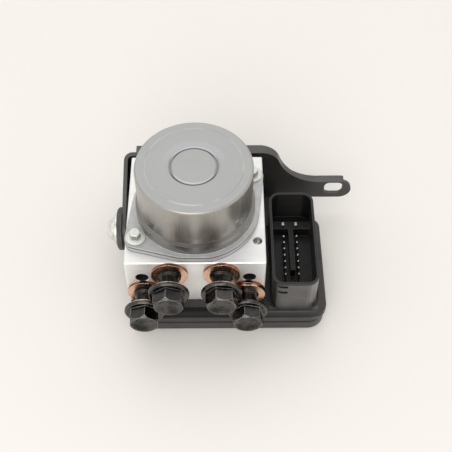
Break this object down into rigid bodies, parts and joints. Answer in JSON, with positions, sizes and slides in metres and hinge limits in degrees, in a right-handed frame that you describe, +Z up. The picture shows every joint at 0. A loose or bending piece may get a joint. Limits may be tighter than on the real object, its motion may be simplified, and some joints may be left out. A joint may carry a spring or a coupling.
{
  "type": "abs brake module",
  "caption": "Hydraulic block with a round pump motor on top, a control unit with a plug socket below, banjo bolts in front and a rubber-mounted sheet bracket.",
  "frame": {"origin": "on the control unit's flat underside, below the motor's axis", "axes": "+X towards the plug socket, +Y from the brake line ports to the back bracket, +Z up along the motor's axis"},
  "size_m": [0.1163, 0.0883, 0.0752],
  "materials": {
    "ball_steel": "polished ball",
    "block_aluminium": "milled and sawn, satin",
    "board_laminate": "solder mask on glass laminate",
    "bolt_black": "black oxide, satin",
    "bracket_black": "black dip coat, satin",
    "brush_carbon": "pressed carbon",
    "brush_plastic": "phenolic moulding",
    "can_steel": "zinc plated deep-drawn sheet",
    "coil_plastic": "potting plastic",
    "commutator_copper": "turned copper",
    "cover_plastic": "glass-filled nylon, satin",
    "flange_steel": "zinc plated sheet",
    "grommet_rubber": "moulded rubber, matte",
    "housing_plastic": "glass-filled nylon, satin",
    "inner_steel": "ground steel",
    "magnet_ferrite": "sintered ferrite",
    "pin_tin": "tin plated",
    "plug_aluminium": "turned",
    "screw_zinc": "zinc plated",
    "seal_rubber": "moulded rubber",
    "spring_steel": "spring wire",
    "washer_copper": "soft copper, satin",
    "winding_copper": "enamelled copper wire"
  },
  "bodies": {
    "module": {"accumulator_cap_left": "plug_aluminium", "accumulator_cap_right": "plug_aluminium", "accumulator_spring_left": "spring_steel", "accumulator_spring_right": "spring_steel", "ball_plugs": "ball_steel", "banjo_bolts": "bolt_black", "bracket": "bracket_black", "bracket_bolts": "screw_zinc", "brush_left": "brush_carbon", "brush_plate": "brush_plastic", "brush_right": "brush_carbon", "brush_spring_left": "spring_steel", "brush_spring_right": "spring_steel", "circuit_board": "board_laminate", "connector_pins": "pin_tin", "copper_washers": "washer_copper", "ecu_cover": "cover_plastic", "ecu_housing": "housing_plastic", "ecu_screws": "screw_zinc", "ecu_seal": "seal_rubber", "flange_bearing": "inner_steel", "hydraulic_block": "block_aluminium", "magnet_back": "magnet_ferrite", "magnet_front": "magnet_ferrite", "motor_can": "can_steel", "motor_end_shield": "flange_steel", "motor_screws": "screw_zinc", "motor_seal": "seal_rubber", "motor_supply_pins": "pin_tin", "pump_plug_left": "plug_aluminium", "pump_plug_right": "plug_aluminium", "pump_sleeve_left": "inner_steel", "pump_sleeve_right": "inner_steel", "pump_spring_left": "spring_steel", "pump_spring_right": "spring_steel", "rubber_grommet_back_left": "grommet_rubber", "rubber_grommet_back_right": "grommet_rubber", "rubber_grommet_left": "grommet_rubber", "spacer_sleeves": "inner_steel", "top_bearing": "inner_steel", "valve_body_1": "inner_steel", "valve_body_2": "inner_steel", "valve_body_3": "inner_steel", "valve_body_4": "inner_steel", "valve_coils": "coil_plastic"},
    "rotor": {"motor_shaft": "inner_steel", "eccentric_ring": "inner_steel", "armature_core": "inner_steel", "armature_winding": "winding_copper", "commutator": "commutator_copper"},
    "pump_piston_left": {"pump_piston_left": "inner_steel"},
    "accumulator_piston_left": {"accumulator_piston_left": "plug_aluminium"},
    "pump_piston_right": {"pump_piston_right": "inner_steel"},
    "accumulator_piston_right": {"accumulator_piston_right": "plug_aluminium"},
    "valve_armature_1": {"valve_armature_1": "inner_steel"},
    "valve_armature_2": {"valve_armature_2": "inner_steel"},
    "valve_armature_3": {"valve_armature_3": "inner_steel"},
    "valve_armature_4": {"valve_armature_4": "inner_steel"}
  },
  "joints": [
    {"name": "rotor_spin", "type": "hinge", "parent": "module", "child": "rotor", "pos_m": [0, 0, 0.035], "axis": [0, 0, 1], "continuous": true},
    {"name": "pump_stroke_left", "type": "slide", "parent": "module", "child": "pump_piston_left", "axis": [1, 0, 0], "range_m": [0, 0.0009], "stiffness_N_per_m": 400, "deforming": ["pump_spring_left"]},
    {"name": "pump_stroke_right", "type": "slide", "parent": "module", "child": "pump_piston_right", "axis": [-1, 0, 0], "range_m": [0, 0.0009], "stiffness_N_per_m": 400, "deforming": ["pump_spring_right"]},
    {"name": "accumulator_stroke_left", "type": "slide", "parent": "module", "child": "accumulator_piston_left", "axis": [0, 0, -1], "range_m": [0, 0.0028], "stiffness_N_per_m": 400, "deforming": ["accumulator_spring_left"]},
    {"name": "accumulator_stroke_right", "type": "slide", "parent": "module", "child": "accumulator_piston_right", "axis": [0, 0, -1], "range_m": [0, 0.0028], "stiffness_N_per_m": 400, "deforming": ["accumulator_spring_right"]},
    {"name": "valve_stroke_1", "type": "slide", "parent": "module", "child": "valve_armature_1", "axis": [0, 0, 1], "range_m": [0, 0.0003], "stiffness_N_per_m": 400},
    {"name": "valve_stroke_2", "type": "slide", "parent": "module", "child": "valve_armature_2", "axis": [0, 0, 1], "range_m": [0, 0.0003], "stiffness_N_per_m": 400},
    {"name": "valve_stroke_3", "type": "slide", "parent": "module", "child": "valve_armature_3", "axis": [0, 0, 1], "range_m": [0, 0.0003], "stiffness_N_per_m": 400},
    {"name": "valve_stroke_4", "type": "slide", "parent": "module", "child": "valve_armature_4", "axis": [0, 0, 1], "range_m": [0, 0.0003], "stiffness_N_per_m": 400}
  ]
}
